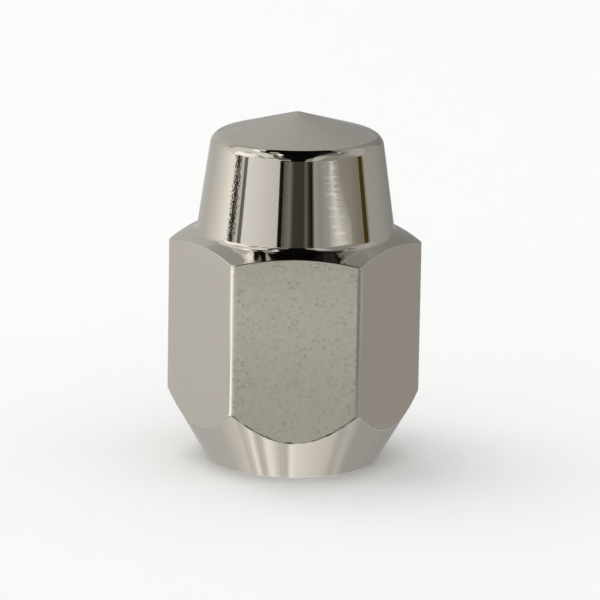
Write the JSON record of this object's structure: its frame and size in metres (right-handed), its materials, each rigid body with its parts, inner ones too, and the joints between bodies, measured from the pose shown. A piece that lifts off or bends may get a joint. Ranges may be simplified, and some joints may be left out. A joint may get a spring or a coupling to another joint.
{
  "type": "lug nut",
  "caption": "Closed-end hexagonal wheel nut, chrome plated, with a conical seat below, a blind threaded hole and a tapered crown with a shallow conical top.",
  "frame": {"origin": "centre of the ring-shaped end of the conical seat, on the face that the nut stands on", "axes": "+Z along the threaded hole towards the tip of the crown, -Y out of a wrench flat, +X through an upright edge of the hexagon"},
  "size_m": [0.024, 0.021, 0.0336],
  "materials": {
    "chrome_plate": "bright nickel-chrome plate over forged steel, satin and finely pitted on the wrench flats"
  },
  "bodies": {
    "root": {"lug_nut": "chrome_plate"}
  },
  "joints": []
}
